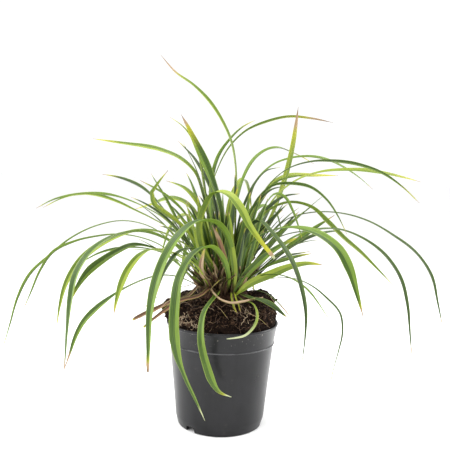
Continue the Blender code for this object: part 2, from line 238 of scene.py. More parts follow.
def addLight(name, place, size, watts):
    data = bpy.data.lights.new(name, "AREA")
    data.shape = "RECTANGLE"
    data.size, data.size_y = size
    data.energy = watts
    light = addObject(name, data)
    light.location = place
    light.rotation_euler = (Vector(studio["aim"]) - Vector(place)).to_track_quat("-Z", "Y").to_euler()


def setStudio():
    bpy.context.scene.view_settings.view_transform = "Standard"
    world = bpy.data.worlds.new("studioWorld")
    bpy.context.scene.world = world
    world.use_nodes = True
    background = world.node_tree.nodes["Background"]
    background.inputs[0].default_value = (*studio["worldTone"], 1.0)
    background.inputs[1].default_value = studio["worldLight"]
    material, _, shader = newMaterial("paleFloor")
    shader.inputs["Base Color"].default_value = (*studio["floorTone"], 1.0)
    shader.inputs["Roughness"].default_value = studio["floorRough"]
    mesh = bpy.data.meshes.new("floor")
    half, low = studio["floorHalf"], -studio["floorDrop"]
    corners = [(-half, -half, low), (half, -half, low), (half, half, low), (-half, half, low)]
    mesh.from_pydata(corners, [], [(0, 1, 2, 3)])
    mesh.materials.append(material)
    floor = addObject("floor", mesh)
    for name, light in softboxes.items():
        addLight(name, **light)


setCamera()
setStudio()
print("camera and studio set")


# leaf materials

leafTones = {
    "fresh": {"deep": (0.028, 0.064, 0.007), "light": (0.118, 0.195, 0.016)},
    "dark": {"deep": (0.012, 0.028, 0.007), "light": (0.052, 0.092, 0.019)},
    "lime": {"deep": (0.070, 0.125, 0.009), "light": (0.225, 0.285, 0.028)},
}
leafMarks = {
    "margin": (0.26, 0.34, 0.05),
    "yellow": (0.40, 0.38, 0.02),
    "tan": (0.32, 0.22, 0.125),
    "brown": (0.085, 0.050, 0.034),
    "white": (0.44, 0.48, 0.27),
    "foot": (0.048, 0.027, 0.014),
}


def leafMaterial(name, deep, light):
    material, tree, shader = newMaterial(name)
    uv = addNode(tree, "UVMap", {"uv_map": "blade"}).outputs[0]
    split = addNode(tree, "SeparateXYZ", None, {0: uv})
    u, v = split.outputs[0], split.outputs[1]
    use = addNode(tree, "Attribute", {"attribute_name": "bladeUse"})
    parts = addNode(tree, "SeparateColor", None, {0: use.outputs["Color"]})
    dry, yellow, shade = parts.outputs[0], parts.outputs[1], parts.outputs[2]
    ends = addNode(tree, "Attribute", {"attribute_name": "bladeEnds"})
    endParts = addNode(tree, "SeparateColor", None, {0: ends.outputs["Color"]})
    bleach, foot = endParts.outputs[0], endParts.outputs[1]
    fromMiddle = doMath(tree, "ABSOLUTE", minus(tree, u, 0.5))
    stretched = {0: times(tree, u, 9.0), 1: times(tree, v, 0.9), 2: times(tree, shade, 40.0)}
    streak = noiseOf(tree, addNode(tree, "CombineXYZ", None, stretched).outputs[0], 2.2, 4.0, 0.6)
    patchPlace = {0: u, 1: times(tree, v, 1.6), 2: times(tree, shade, 25.0)}
    patch = noiseOf(tree, addNode(tree, "CombineXYZ", None, patchPlace).outputs[0], 1.4, 2.0, 0.5)
    vein = doMath(tree, "SINE", times(tree, u, 50.3))
    veinLight = times(tree, ramp(tree, vein, -0.4, 1.0), 0.62)
    tone = plus(tree, times(tree, streak, 1.5), times(tree, patch, 0.8))
    tone = minus(tree, plus(tree, tone, veinLight), 0.82)
    tone = plus(tree, tone, times(tree, minus(tree, shade, 0.5), 0.5))
    # painted light and shade: one half of the folded blade is painted paler and the other darker, as if lit
    # from one side
    half = times(tree, minus(tree, ramp(tree, u, 0.47, 0.53), 0.5), 0.95)
    tone = plus(tree, tone, half, clamp=True)
    green = mixColor(tree, tone, deep, light)
    margin = times(tree, ramp(tree, fromMiddle, 0.40, 0.48), 0.60)
    green = mixColor(tree, margin, green, leafMarks["margin"])
    rib = minus(tree, 0.45, ramp(tree, fromMiddle, 0.008, 0.045), clamp=True)
    green = mixColor(tree, rib, green, tuple(0.8 * a + 0.2 * b for a, b in zip(light, leafMarks["margin"])))
    blotch = times(tree, minus(tree, streak, 0.5), 0.9)
    uneven = plus(tree, yellow, times(tree, blotch, yellow))
    yellowShare = ramp(tree, uneven, 0.15, 0.95)
    green = mixColor(tree, yellowShare, green, leafMarks["yellow"])
    tanShare = ramp(tree, plus(tree, dry, times(tree, blotch, 0.7)), 0.32, 0.62)
    green = mixColor(tree, tanShare, green, leafMarks["tan"])
    brownShare = times(tree, ramp(tree, plus(tree, dry, blotch), 0.70, 1.15), 0.75)
    green = mixColor(tree, brownShare, green, leafMarks["brown"])
    green = mixColor(tree, ramp(tree, bleach, 0.25, 0.85), green, leafMarks["white"])
    footShare = times(tree, ramp(tree, plus(tree, foot, blotch), 0.15, 0.75), 0.85)
    green = mixColor(tree, footShare, green, leafMarks["foot"])
    gloss = plus(tree, times(tree, streak, 0.22), 0.30)
    gloss = plus(tree, gloss, times(tree, tanShare, 0.3), clamp=True)
    height = plus(tree, times(tree, vein, 0.5), times(tree, streak, 1.2))
    addBump(tree, shader, 0.35, 0.00025, height)
    setInputs(tree, shader, {"Base Color": green, "Roughness": gloss, "Specular IOR Level": 0.30})
    return material


leafFinish = {}
for finish, tone in leafTones.items():
    leafFinish[finish] = leafMaterial(finish + "Leaf", tone["deep"], tone["light"])
deadLeaf = leafMaterial("deadLeaf", (0.19, 0.105, 0.062), (0.56, 0.40, 0.27))
brokenStalk = leafMaterial("brokenStalk", (0.045, 0.020, 0.011), (0.23, 0.115, 0.058))
oldSheath = leafMaterial("oldSheath", (0.012, 0.005, 0.005), (0.085, 0.036, 0.025))
print("leaf materials made")


# blades

bladeShape = {
    "columns": 9,            # points across the upper side
    "thickness": 0.42 * mm,
    "tipHalf": 0.62 * mm,    # half the least width, until just before the point
    "fuller": 1.08,          # a living leaf is a little wider than its flat core
    "spacing": 3.2 * mm,     # between cross-sections
    "pleat": 1.75,           # 1.5 gives a plain fold, 3 the M of a sedge leaf
    "toView": 42.0,          # degrees that a leaf's outer part twists to show its face
    "wander": 0.5 * mm,
    "sway": 7.0,             # degrees of uneven twist
}


def ringFaces(rows, around):
    # joins each ring of points to the next
    faces = []
    for i in range(rows - 1):
        for j in range(around):
            a, b = i * around + j, i * around + (j + 1) % around
            faces.append((a, a + around, b + around, b))
    return faces


def growBlade(centre, across, half, fold, look, rng):
    # a closed thin blade along the centre line, folded at its rib; returns its points, faces and
    # the numbers that its material reads
    n = len(centre)
    share = np.linspace(0.0, 1.0, n)
    length = np.sum(np.linalg.norm(np.diff(centre, axis=0), axis=1))
    tangent = unit(np.gradient(centre, axis=0))
    across = unit(across - tangent * np.sum(across * tangent, 1, keepdims=True))
    normal = np.cross(tangent, across)
    phase = rng.uniform(0.0, math.tau, 3)
    extra = math.radians(look.get("turn", 0.0)) * share ** 1.3
    front = np.array([0.0, -1.0, 0.12])
    front = unit(front - tangent * (tangent @ front)[:, None])
    gap = np.arctan2(np.sum(np.cross(normal, front) * tangent, 1), np.sum(normal * front, 1))
    gap = (gap + math.pi / 2.0) % math.pi - math.pi / 2.0
    most = math.radians(look.get("most", bladeShape["toView"]))
    outer = gap[int(n * 0.45):int(n * 0.9)]
    lean = np.clip(np.median(outer), -most, most) * look.get("face", 0.8)
    late, done = look.get("twist", (0.38, 0.78))
    ease = np.clip((share - late) / (done - late), 0.0, 1.0)
    extra = extra + lean * ease * ease * (3.0 - 2.0 * ease)
    extra = extra + math.radians(bladeShape["sway"]) * share * np.sin(share * 9.0 + phase[0])
    c, s = np.cos(extra)[:, None], np.sin(extra)[:, None]
    across, normal = across * c + normal * s, normal * c - across * s
    drift = bladeShape["wander"] * share * np.sin(share * 13.0 + phase[1])
    centre = centre + across * drift[:, None]
    m = bladeShape["columns"]
    x = np.sin(np.linspace(-1.0, 1.0, m) * math.pi / 2.0)
    lift = np.sin(bladeShape["pleat"] * np.abs(x))
    edge = 1.0 + 0.04 * np.sin(share * length / (9.0 * mm) + phase[2])
    half = half * edge
    across3, normal3 = across[:, None, :], normal[:, None, :]
    surface = centre[:, None, :] + across3 * (half[:, None] * x)[..., None]
    surface = surface + normal3 * (fold[:, None] * half[:, None] * lift)[..., None]
    thin = bladeShape["thickness"] * (1.0 - 0.75 * np.abs(x) ** 3)
    thin = thin[None, :] * np.clip(0.25 + half / (2.0 * mm), 0.25, 1.0)[:, None]
    under = surface - normal3 * thin[..., None]
    rings = np.concatenate([surface, under[:, ::-1]], axis=1)
    k = 2 * m
    faces = ringFaces(n, k)
    for i, flip in ((0, False), (n - 1, True)):
        for j in range(m - 1):
            a, b = i * k + j, i * k + j + 1
            c2, d = i * k + k - 2 - j, i * k + k - 1 - j
            faces.append((a, b, c2, d) if not flip else (d, c2, b, a))
    left = (1.0 - share) * length
    dryLength = look.get("dry", 8.0) * mm
    dry = np.clip(1.15 - left / max(dryLength, 1e-6), 0.0, 1.0) if dryLength > 0 else share * 0.0
    dry = np.maximum(dry, look.get("dead", 0.0))
    yellow = np.clip(1.0 - left / max(look.get("yellow", 22.0) * mm, 1e-6), 0.0, 1.0)
    yellow = np.maximum(yellow, look.get("pale", 0.0))
    foot = np.clip(1.0 - share * length / (look.get("foot", 24.0) * mm), 0.0, 1.0)
    bleach = np.clip(1.1 - left / (look["bleach"] * mm), 0.0, 1.0) if "bleach" in look else share * 0.0
    shade = np.full(n, look.get("shade", rng.uniform(0.2, 0.8)))
    ends = np.stack([bleach, foot, share, share], 1)
    ends = np.repeat(ends[:, None, :], k, axis=1).reshape(-1, 4)
    use = np.stack([dry, yellow, shade, share], 1)
    use = np.repeat(use[:, None, :], k, axis=1).reshape(-1, 4)
    flat = np.concatenate([x, x[::-1]]) * 0.5 + 0.5
    uv = np.stack(np.broadcast_arrays(flat[None, :], (share * length / 0.05)[:, None]), -1).reshape(-1, 2)
    return rings.reshape(-1, 3), faces, use, ends, uv


def joinBlades(name, blades, material):
    verts, faces, uses, allEnds, uvs, start = [], [], [], [], [], 0
    for v, f, use, ends, uv in blades:
        verts.append(v)
        faces.extend(tuple(i + start for i in face) for face in f)
        uses.append(use)
        allEnds.append(ends)
        uvs.append(uv)
        start += len(v)
    verts, uvs = np.vstack(verts), np.vstack(uvs)
    piece = addPiece(name, verts, faces, material)
    mesh = piece.data
    for key, values in (("bladeUse", uses), ("bladeEnds", allEnds)):
        layer = mesh.attributes.new(key, "FLOAT_COLOR", "POINT")
        layer.data.foreach_set("color", np.vstack(values).astype(np.float32).ravel())
    corner = np.zeros(len(mesh.loops), np.int32)
    mesh.loops.foreach_get("vertex_index", corner)
    mesh.uv_layers.new(name="blade").data.foreach_set("uv", uvs[corner].astype(np.float32).ravel())
    return piece


def readLeaf(node, stations=12):
    # the rings of the node's own mesh, from its seat on the crown to its tip
    work = bmesh.new()
    work.from_mesh(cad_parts[node].data)
    bmesh.ops.remove_doubles(work, verts=work.verts, dist=0.00002)
    work.verts.ensure_lookup_table()
    place = np.array([v.co[:] for v in work.verts])
    links = [[(e.other_vert(v).index, e.calc_length()) for e in v.link_edges] for v in work.verts]
    work.free()
    crownMiddle = np.array([0.0, 0.0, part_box("crown")[0].z])
    seat = place[np.argmin(np.linalg.norm(place - crownMiddle, axis=1))]
    away = np.full(len(place), np.inf)
    queue = []
    for i in np.where(np.linalg.norm(place - seat, axis=1) < 4.2 * mm)[0]:
        away[i] = 0.0
        heapq.heappush(queue, (0.0, int(i)))
    while queue:
        d, i = heapq.heappop(queue)
        if d > away[i]:
            continue
        for j, step in links[i]:
            if d + step < away[j]:
                away[j] = d + step
                heapq.heappush(queue, (d + step, j))
    ring = np.rint(away / (away.max() / (stations - 1))).astype(int)
    groups = [place[ring == k] for k in range(stations) if np.any(ring == k)]
    centre = np.array([g.mean(0) for g in groups])
    tangent = unit(np.gradient(centre, axis=0))
    across, half = [], []
    for k, group in enumerate(groups):
        spread = group - centre[k]
        spread = spread - np.outer(spread @ tangent[k], tangent[k])
        main = np.linalg.svd(spread)[2][0] if len(group) > 2 else across[-1]
        if across and (k == len(groups) - 1 or np.abs(spread @ main).max() < 0.6 * mm):
            main = across[-1]
        if across and main @ across[-1] < 0:
            main = -main
        across.append(main)
        half.append(np.abs(spread @ main).max())
    across, half = np.array(across), np.array(half)
    normal = np.cross(tangent, across)
    rise = 0.0
    for k in range(min(6, len(groups))):
        spread = groups[k] - centre[k]
        side = np.abs(spread @ across[k])
        order = np.argsort(side)
        rise += (spread[order[-4:]] @ normal[k]).mean() - (spread[order[:2]] @ normal[k]).mean()
    if rise < 0:
        across = -across
    return centre, across, half


def leafFromNode(node, look, rng):
    centre, across, half = readLeaf(node)
    if "skip" in look:
        keep = [k for k in range(len(centre)) if k not in look["skip"]]
        centre, across, half = centre[keep], across[keep], half[keep]
    length = np.sum(np.linalg.norm(np.diff(centre, axis=0), axis=1))
    count = max(24, int(length / bladeShape["spacing"]))
    rows = np.hstack([centre, across, half[:, None]])
    if "kink" in look:
        # the two sides of a sharp bend are smoothed apart
        k = look["kink"]
        part = int(count * np.sum(np.linalg.norm(np.diff(centre[:k + 1], axis=0), axis=1)) / length)
        rows = np.concatenate([smoothLine(rows[:k + 1], part), smoothLine(rows[k:], count - part + 1)[1:]])
    else:
        rows = smoothLine(rows, count)
    centre, across, half = rows[:, :3], unit(rows[:, 3:6]), rows[:, 6]
    share = np.linspace(0.0, 1.0, count)
    end = look.get("end", 0.0)
    if end:
        # a cut or broken tip keeps part of its width, and its edge is ragged
        half = np.maximum(half, end * half.max() * (share > 0.6))
        half = half * np.where(share > 1.0 - 5.0 * mm / length, rng.uniform(0.45, 1.0, count), 1.0)
    else:
        half = half * np.clip((1.0 - share) / 0.05, 0.12, 1.0) ** 0.7
    if "narrow" in look:
        # from here on the blade is narrowed, so it looks folded shut and thin
        begin, share2 = look["narrow"]
        ease = np.clip((share - begin) / 0.12, 0.0, 1.0)
        half = half * (1.0 - (1.0 - share2) * ease)
    half = half * look.get("wide", 1.0) * bladeShape["fuller"]
    if "peak" in look:
        # narrow at first, and widest near its end
        ease = np.clip(share / look["peak"], 0.0, 1.0)
        half = half.max() * (look["thin"] + (1.0 - look["thin"]) * ease * ease * (3.0 - 2.0 * ease))
        half = half * np.clip((1.0 - share) / (1.0 - look["peak"]), 0.05, 1.0) ** 0.8
    half = np.maximum(half, bladeShape["tipHalf"] * np.clip((1.0 - share) / 0.03, 0.3, 1.0))
    fold = 0.62 - 0.24 * np.clip(share / 0.45, 0.0, 1.0)
    return growBlade(centre, across, half, fold, look, rng)


leafLooks = {
    "leaf_01": {"tone": "lime", "yellow": 60},
    "leaf_02": {"tone": "dark"},
    "leaf_03": {"tone": "dark", "yellow": 30},
    "leaf_05": {"tone": "fresh", "wide": 0.8},
    "leaf_06": {"tone": "lime", "yellow": 60, "pale": 0.15},
    "leaf_07": {"tone": "fresh", "wide": 0.75, "dry": 10},
    "leaf_08": {"tone": "lime", "wide": 0.75},
    "leaf_09": {"tone": "fresh", "wide": 0.8, "face": 0.45, "dry": 10},
    "leaf_10": {"tone": "fresh", "wide": 0.9, "dry": 16},
    "leaf_11": {"tone": "lime", "wide": 1.0},
    "leaf_12": {"tone": "fresh", "wide": 1.5, "dry": 34, "face": 1.0, "peak": 0.6},
    "leaf_13": {"tone": "fresh", "dry": 4, "wide": 1.1, "peak": 0.8, "thin": 0.35},
    "leaf_14": {"tone": "lime", "wide": 1.25, "face": 1.0, "peak": 0.82, "thin": 0.16, "most": 80.0,
                "twist": (0.5, 0.7)},
    "leaf_15": {"tone": "fresh", "dry": 30, "wide": 1.5, "thin": 0.3, "peak": 0.66, "face": 1.0,
                "most": 80.0},
    "leaf_16": {"tone": "dark", "wide": 0.5, "dry": 60},
    "leaf_17": {"tone": "fresh", "wide": 0.8},
    "leaf_19": {"tone": "dark", "wide": 0.35, "dry": 40},
    "leaf_20": {"tone": "dark", "dry": 18, "wide": 0.45, "face": 0.0},
    "leaf_21": {"tone": "fresh", "wide": 0.7, "face": 0.3},
    "leaf_22": {"tone": "fresh", "dry": 12, "wide": 1.15, "thin": 0.28, "peak": 0.80},
    "leaf_23": {"tone": "lime", "wide": 1.05, "peak": 0.62, "thin": 0.35},
    "leaf_24": {"tone": "dark", "dry": 20, "wide": 0.8, "thin": 0.35, "peak": 0.74, "face": 0.7},
    "leaf_25": {"tone": "dark", "dry": 20, "wide": 0.75, "thin": 0.35, "peak": 0.82, "face": 0.7},
    "leaf_26": {"tone": "lime", "dry": 14, "yellow": 70, "wide": 0.9, "peak": 0.78},
    "leaf_27": {"tone": "fresh", "yellow": 50, "wide": 0.8},
    "leaf_28": {"tone": "fresh", "dry": 14, "wide": 0.8},
    "leaf_29": {"tone": "fresh", "yellow": 90, "dry": 12},
    "leaf_30": {"tone": "lime", "yellow": 120, "pale": 0.2},
    "leaf_31": {"tone": "fresh", "wide": 0.8},
    "leaf_32": {"tone": "fresh", "peak": 0.6, "thin": 0.7},
    "leaf_43": {"tone": "dark", "dry": 4, "yellow": 6, "peak": 0.45, "thin": 0.8},
    "leaf_44": {"tone": "lime", "kink": 9, "peak": 0.6, "thin": 0.5, "wide": 1.1},
    "leaf_45": {"tone": "lime", "dry": 44, "yellow": 60, "wide": 1.3, "peak": 0.86, "thin": 0.7},
    "leaf_46": {"tone": "lime", "dry": 45, "yellow": 90, "wide": 0.85},
    "leaf_47": {"tone": "lime", "dry": 40, "yellow": 80},
    "leaf_48": {"tone": "fresh", "dry": 22, "yellow": 60, "wide": 1.25},
    "leaf_49": {"tone": "fresh", "dry": 13, "end": 0.35},
    "leaf_50": {"tone": "fresh", "yellow": 24, "dry": 3, "bleach": 26, "narrow": (0.66, 0.50)},
    "leaf_51": {"tone": "fresh", "dry": 0, "bleach": 12, "skip": (1,), "peak": 0.78, "thin": 0.8},
    "leaf_52": {"tone": "lime", "dry": 0, "pale": 0.1, "bleach": 52, "skip": (1, 2), "wide": 0.62},
    "leaf_53": {"tone": "lime", "pale": 0.12, "yellow": 50, "dry": 12, "bleach": 6, "end": 0.42},
}
# the leaves that reach out to the sides start narrow and are widest far out
outerLeaf = {"peak": 0.70, "thin": 0.42}
dryLooks = {
    "dry_leaf_1": {"dead": 0.38, "end": 0.2, "wide": 0.85},
    "dry_leaf_2": {"dry": 25, "yellow": 0, "end": 0.2, "wide": 1.0},
    "stub_1": {"dry": 0, "yellow": 0, "end": 0.9, "wide": 1.25},
    "stub_2": {"dry": 0, "yellow": 0, "end": 0.6, "wide": 1.1},
}


def makeLeaves():
    rng = np.random.default_rng(seeds["leaves"])
    tones = ("fresh", "dark", "fresh", "lime")
    names = sorted(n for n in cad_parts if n.startswith("leaf_"))
    for k, node in enumerate(names):
        look = leafLooks.get(node, {"turn": 25 if k % 2 else -25})
        if int(node[5:]) < 35:
            look = {**outerLeaf, **look}
        tone = look.get("tone", tones[k % len(tones)])
        piece = joinBlades("blade_" + node[5:], [leafFromNode(node, look, rng)], leafFinish[tone])
        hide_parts(node)
    for node in sorted(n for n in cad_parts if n.startswith(("dry_leaf", "stub"))):
        look = dryLooks[node]
        material = deadLeaf if node == "dry_leaf_1" else brokenStalk
        piece = joinBlades(node + "_blade", [leafFromNode(node, look, rng)], material)
        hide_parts(node)


makeLeaves()
print("main leaves made")


# pot

potShape = {
    "height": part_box("pot")[1].z / mm,
    "rim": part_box("pot")[1].x / mm,
    "band": 60.9,
    "bandLow": 96.5,
    "bodyTop": 60.0,
    "chamfer": 51.6,
    "chamferHigh": 10.0,
    "foot": 49.0,
    "wall": 1.2,
    "skirt": 6.4,
    "bead": 0.75,            # how far the embossed line stands out
    "sides": 192,
    "notches": (229.0, 349.0, 109.0),
    "notchWidth": 12.0,
    "notchHigh": 6.0,
}


def potMaterial():
    material, tree, shader = newMaterial("greyPotPlastic")
    place = addNode(tree, "TexCoord").outputs["Object"]
    fine = noiseOf(tree, place, 900.0, 2.0, 0.6)
    broad = noiseOf(tree, place, 22.0, 3.0, 0.6)
    stretched = addNode(tree, "Mapping", None, {"Vector": place, "Scale": (1.0, 1.0, 0.06)}).outputs[0]
    flow = noiseOf(tree, stretched, 160.0, 3.0, 0.6)
    tone = plus(tree, times(tree, broad, 0.7), times(tree, flow, 0.3))
    color = mixColor(tree, ramp(tree, tone, 0.3, 0.7), (0.0045, 0.0045, 0.0052), (0.0100, 0.0098, 0.0115))
    dust = times(tree, ramp(tree, noiseOf(tree, place, 70.0, 6.0, 0.7), 0.58, 0.80), 0.30)
    color = mixColor(tree, dust, color, (0.060, 0.053, 0.048))
    # pale crumbs and dried drops stick to the band
    high = addNode(tree, "SeparateXYZ", None, {0: place}).outputs[2]
    speck = ramp(tree, noiseOf(tree, place, 420.0, 2.0, 0.6), 0.66, 0.72)
    speck = times(tree, speck, ramp(tree, high, 0.100, 0.116))
    color = mixColor(tree, speck, color, (0.28, 0.26, 0.23))
    # painted highlight: the raised line is painted pale, standing in for the floor's reflection along it
    paintedLineHighlight = minus(tree, ramp(tree, high, 0.0960, 0.0967), ramp(tree, high, 0.0974, 0.0980))
    paintedLineHighlight = times(tree, paintedLineHighlight, ramp(tree, noiseOf(tree, place, 45.0, 3.0, 0.6), 0.30, 0.60))
    color = mixColor(tree, times(tree, paintedLineHighlight, 0.7), color, (0.105, 0.105, 0.110))
    gloss = plus(tree, times(tree, broad, 0.16), 0.22)
    gloss = plus(tree, gloss, times(tree, dust, 0.8))
    gloss = plus(tree, gloss, times(tree, speck, 0.4), clamp=True)
    height = plus(tree, times(tree, fine, 0.25), times(tree, flow, 0.6))
    addBump(tree, shader, 0.25, 0.0003, height)
    setInputs(tree, shader, {"Base Color": color, "Roughness": gloss, "Specular IOR Level": 0.27})
    return material


def potOutline():
    s = potShape
    floor = s["skirt"] + s["wall"]
    inner = s["chamfer"] - s["wall"]
    high, rim, low = s["height"], s["rim"], s["bandLow"]
    line = [(0.0, floor), (inner - 1.6, floor), (inner - 0.5, floor + 0.9), (inner, s["chamferHigh"])]
    line += [(s["bodyTop"] - s["wall"], low), (s["band"] - s["wall"] + 0.3, low + 2.0)]
    line += [(rim - 2.0, high - 0.8)]
    for k in range(7):
        a = math.pi * (1.0 - k / 6.0)
        line.append((rim - 0.8 + 0.8 * math.cos(a), high - 0.8 + 0.8 * math.sin(a)))
    line += [(rim, high - 2.0), (rim - 0.15, high - 2.5), (rim - 0.7, high - 2.9), (rim - 0.95, high - 3.2)]
    line += [(s["band"] + 0.25, low + 2.2), (s["band"] + 0.15, low + 1.5)]
    for k in range(9):
        a = math.pi * (0.5 - k / 8.0)
        line.append((s["band"] + s["bead"] * math.cos(a), low + 0.3 + 0.75 * math.sin(a)))
    line += [(s["band"] - 0.05, low - 0.7), (s["bodyTop"] + 0.45, low - 2.2)]
    line += [(s["bodyTop"] + 0.05, low - 5.0)]
    line += [(s["chamfer"] + 0.15, s["chamferHigh"] + 1.0)]
    line += [(s["chamfer"] - 0.1, s["chamferHigh"] - 0.6), (s["foot"] + 0.45, 1.2), (s["foot"] + 0.25, 0.4)]
    line += [(s["foot"] - 0.1, 0.0), (s["foot"] - 2.1, 0.0)]
    line += [(s["foot"] - 2.2, 0.1), (s["foot"] - 2.2, s["skirt"])]
    line += [(0.0, s["skirt"])]
    return line


def makePot():
    s = potShape
    mesh = bpy.data.meshes.new("potShell")
    line = potOutline()
    edges = [(i, i + 1) for i in range(len(line) - 1)]
    mesh.from_pydata([(r * mm, 0.0, z * mm) for r, z in line], edges, [])
    pot = addObject("potShell", mesh)
    screw = pot.modifiers.new("turn", "SCREW")
    screw.steps = screw.render_steps = s["sides"]
    screw.use_merge_vertices = True
    screw.merge_threshold = 0.00001
    cutters = []
    for azimuth in s["notches"]:
        angle = math.radians(azimuth)
        work = bmesh.new()
        bmesh.ops.create_cube(work, size=1.0)
        size = (12.0 * mm, s["notchWidth"] * mm, 2.0 * s["notchHigh"] * mm)
        bmesh.ops.scale(work, verts=work.verts, vec=size)
        uprights = [e for e in work.edges if abs((e.verts[0].co - e.verts[1].co).x) > 6.0 * mm]
        bmesh.ops.bevel(work, geom=uprights, offset=1.2 * mm, segments=3, affect="EDGES")
        shape = bpy.data.meshes.new("notch")
        work.to_mesh(shape)
        work.free()
        notch = addObject("notch", shape)
        reach = (s["foot"] + 1.0) * mm
        notch.location = (reach * math.cos(angle), reach * math.sin(angle), 0.0)
        notch.rotation_euler = (0.0, 0.0, angle)
        cut = pot.modifiers.new("cut", "BOOLEAN")
        cut.object = notch
        cutters.append(notch)
    graph = bpy.context.evaluated_depsgraph_get()
    done = bpy.data.meshes.new_from_object(pot.evaluated_get(graph))
    pot.modifiers.clear()
    pot.data = done
    for notch in cutters:
        bpy.data.objects.remove(notch)
    for vertex in done.vertices:
        # thin moulded walls are never quite round
        x, y, z = vertex.co
        angle = math.atan2(y, x)
        grow = 1.0 + 0.0022 * (z / cadHigh.z) * (math.sin(2.0 * angle + 0.7) + 0.6 * math.sin(5.0 * angle))
        vertex.co = (x * grow, y * grow, z)
    done.materials.append(potMaterial())
    done.polygons.foreach_set("use_smooth", [True] * len(done.polygons))
    done.set_sharp_from_angle(angle=math.radians(35.0))
    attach(pot, body)
    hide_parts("pot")


makePot()
print("pot made")


# soil, crumbs and roots

soilShape = {
    "middle": Vector((0.0, 0.0, 0.124)),
    "around": 360,
    "over": 120,             # rings above the rim
    "under": 14,             # rings inside the pot
    "lump": 4.2 * mm,
    "lumpScale": 75.0,
    "grit": 2.4 * mm,
    "gritScale": 300.0,
    "sunk": 1.6 * mm,
    "fromRim": 3.4,          # millimetres that the peat keeps from the rim's outside
    "justBelow": -0.04,      # tilt at which the rings above the rim end, in radians
    "crumbs": 1900,
    "crumbSize": (0.5 * mm, 2.1 * mm),
    "rimCrumbs": 130,
    "rimCrumbSize": (1.2 * mm, 3.4 * mm),
    "darkFibres": 420,
    "paleRoots": 24,
    # each pair of tones is the dark and the light one
    "peatTones": ((0.0008, 0.0006, 0.0005), (0.017, 0.0090, 0.0064)),
    "crumbTones": ((0.0012, 0.0009, 0.0008), (0.085, 0.048, 0.030)),
    "darkRootTones": ((0.030, 0.016, 0.010), (0.22, 0.13, 0.075)),
    "paleRootTones": ((0.24, 0.16, 0.09), (0.60, 0.47, 0.32)),
    # where fine roots show: azimuth, tilt and spread in degrees, and how many
    "rootPatches": ((226.0, 2.5, 8.0, 52), (197.0, 17.0, 9.0, 26), (300.0, 12.0, 12.0, 14),
                    (172.0, 12.0, 10.0, 14)),
    # lumps on the mound: height, azimuth, tilt and width in degrees
    "lumps": ((9.0 * mm, 18.0, 30.0, 26.0), (5.0 * mm, 186.0, 14.0, 24.0)),
}


def soilMaterial(name, low, high, scale=260.0):
    material, tree, shader = newMaterial(name)
    place = addNode(tree, "TexCoord").outputs["Object"]
    coarse = noiseOf(tree, place, scale, 5.0, 0.7)
    fine = noiseOf(tree, place, scale * 5.0, 3.0, 0.7)
    fibre = addNode(tree, "TexVoronoi", {"feature": "DISTANCE_TO_EDGE"},
                    {"Vector": place, "Scale": scale * 1.6})
    tone = plus(tree, times(tree, coarse, 0.7), times(tree, fine, 0.4))
    color = mixColor(tree, ramp(tree, tone, 0.35, 0.78), low, high)
    thready = ramp(tree, noiseOf(tree, place, scale * 2.2, 2.0, 0.5), 0.64, 0.72)
    threads = times(tree, thready, 0.55)
    color = mixColor(tree, threads, color, (0.20, 0.12, 0.07))
    height = plus(tree, coarse, times(tree, fibre.outputs[0], 0.8))
    addBump(tree, shader, 0.8, 0.0008, height)
    setInputs(tree, shader, {"Base Color": color, "Roughness": 0.92, "Specular IOR Level": 0.06})
    return material


def treeOf(obj):
    points = [v.co.copy() for v in obj.data.vertices]
    return BVHTree.FromPolygons(points, [list(p.vertices) for p in obj.data.polygons])


def outward(tilt, angle):
    return Vector((math.cos(tilt) * math.cos(angle), math.cos(tilt) * math.sin(angle), math.sin(tilt)))


def makeSoil():
    s = soilShape
    cad = treeOf(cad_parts["soil"])
    middle = s["middle"]
    heights = np.concatenate([
        np.linspace(math.pi / 2.0, s["justBelow"], s["over"]),
        np.linspace(s["justBelow"], -math.pi / 2.0, s["under"] + 1)[1:],
    ])
    rimHigh = potShape["height"] * mm
    widest = (potShape["rim"] - s["fromRim"]) * mm
    verts = []
    for i, tilt in enumerate(heights):
        for j in range(s["around"]):
            angle = math.tau * j / s["around"]
            way = outward(tilt, angle)
            hit = cad.ray_cast(middle, way)[0]
            if hit is None:
                hit = middle + way * 0.05
            if i < s["over"] - 1:
                lump = noise.fractal(hit * s["lumpScale"], 1.0, 2.0, 3) * s["lump"]
                grit = noise.turbulence(hit * s["gritScale"], 4, True) * s["grit"]
                bulge = 0.0
                for high, azimuth, lean, width in s["lumps"]:
                    off = (math.degrees(angle) - azimuth + 180.0) % 360.0 - 180.0
                    rise = (math.degrees(tilt) - lean) / (width * 0.55)
                    bulge += high * math.exp(-(off / width) ** 2 - rise ** 2)
                hit = hit + way * (lump + grit + bulge - s["sunk"])
                flat = math.hypot(hit.x, hit.y)
                if flat > widest and hit.z < rimHigh + 0.6 * mm:
                    keep = widest / flat
                    if hit.z < rimHigh - 0.2 * mm:
                        hit = Vector((hit.x * keep, hit.y * keep, hit.z))
                    else:
                        hit = Vector((hit.x, hit.y, rimHigh + 0.6 * mm))
            verts.append(hit)
    peat = soilMaterial("fibrousPeat", *s["peatTones"])
    soil = addPiece("rootBall", verts, ringFaces(len(heights), s["around"]), peat)
    work = bmesh.new()
    work.from_mesh(soil.data)
    bmesh.ops.remove_doubles(work, verts=work.verts, dist=0.00003)
    bmesh.ops.recalc_face_normals(work, faces=work.faces)
    work.to_mesh(soil.data)
    work.free()
    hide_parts("soil")
    return soil


